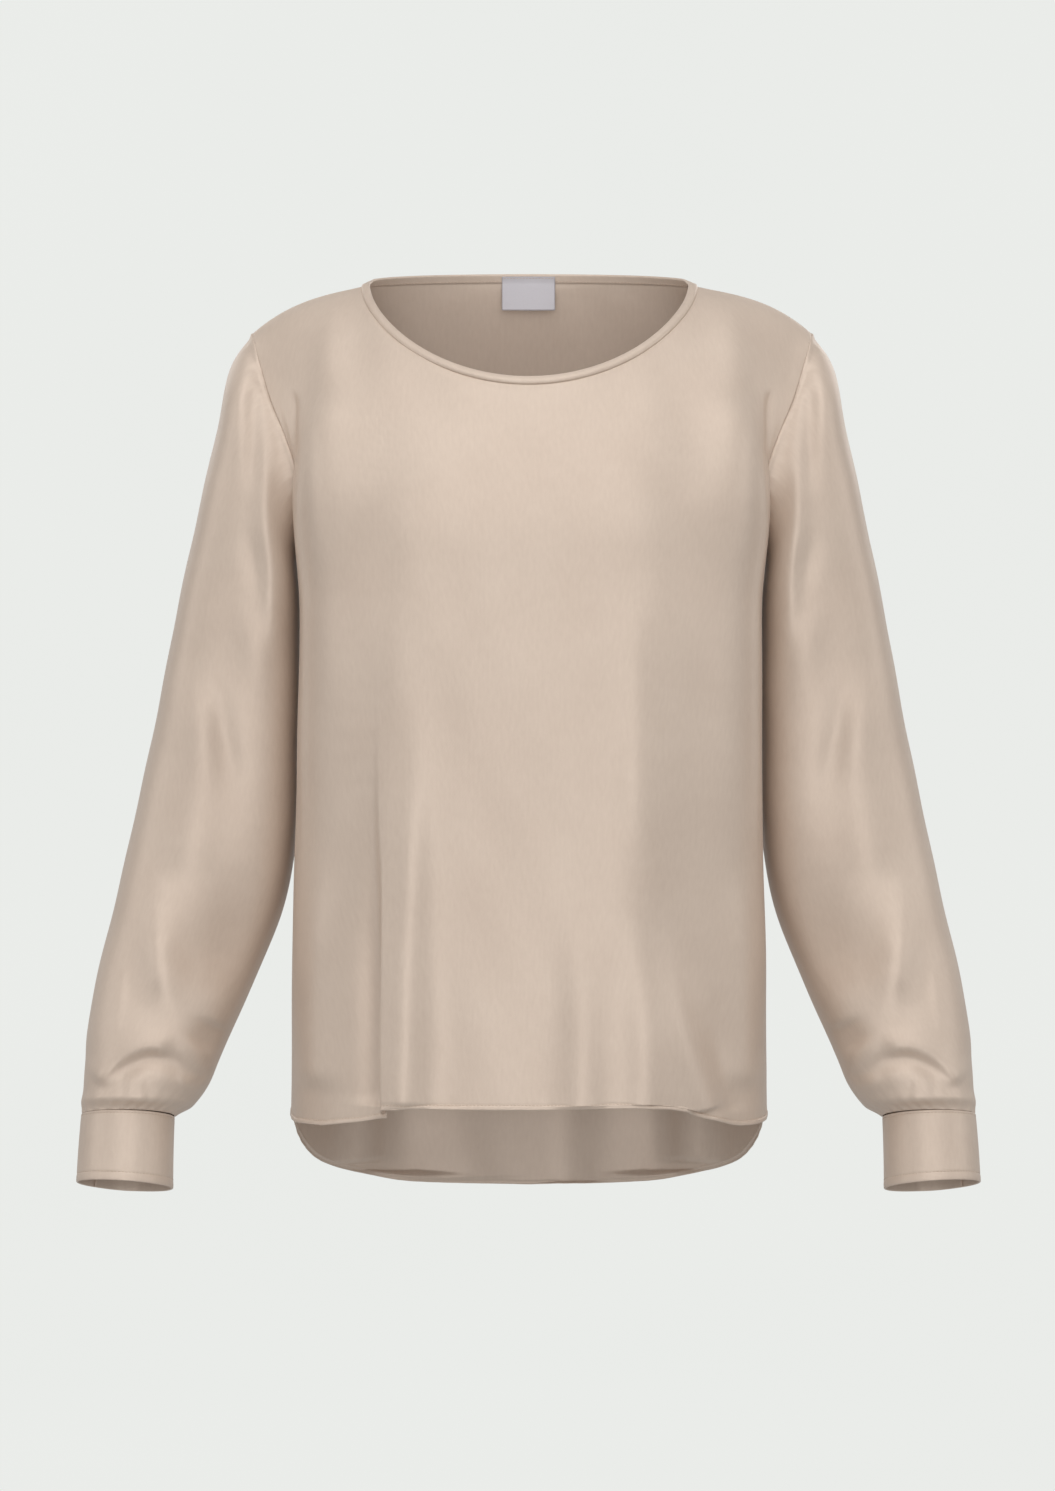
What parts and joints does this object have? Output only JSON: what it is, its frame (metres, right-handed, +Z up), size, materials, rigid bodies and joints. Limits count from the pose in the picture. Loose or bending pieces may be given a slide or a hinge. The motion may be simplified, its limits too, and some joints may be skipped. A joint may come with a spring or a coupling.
{
  "type": "blouse",
  "caption": "Long-sleeved satin blouse with a wide bound round neck, barrel cuffs and a curved hem that is longer behind, in the hollow form it has when worn.",
  "frame": {"origin": "midway between the two points where the shoulder seams meet the neckline, where the wearer's shoulders hold the blouse up", "axes": "+Z up, -Y towards the front of the blouse, +X towards the wearer's left"},
  "size_m": [0.6512, 0.2406, 0.6831],
  "materials": {
    "satin": "soft satin",
    "label_ribbon": "satin ribbon",
    "button": "polished"
  },
  "bodies": {
    "root": {"front": "satin", "back": "satin", "sleeve_left": "satin", "sleeve_right": "satin", "cuff_left": "satin", "cuff_right": "satin", "neck_binding": "satin", "label": "label_ribbon", "cuff_button_left": "button", "cuff_button_right": "button"}
  },
  "joints": []
}
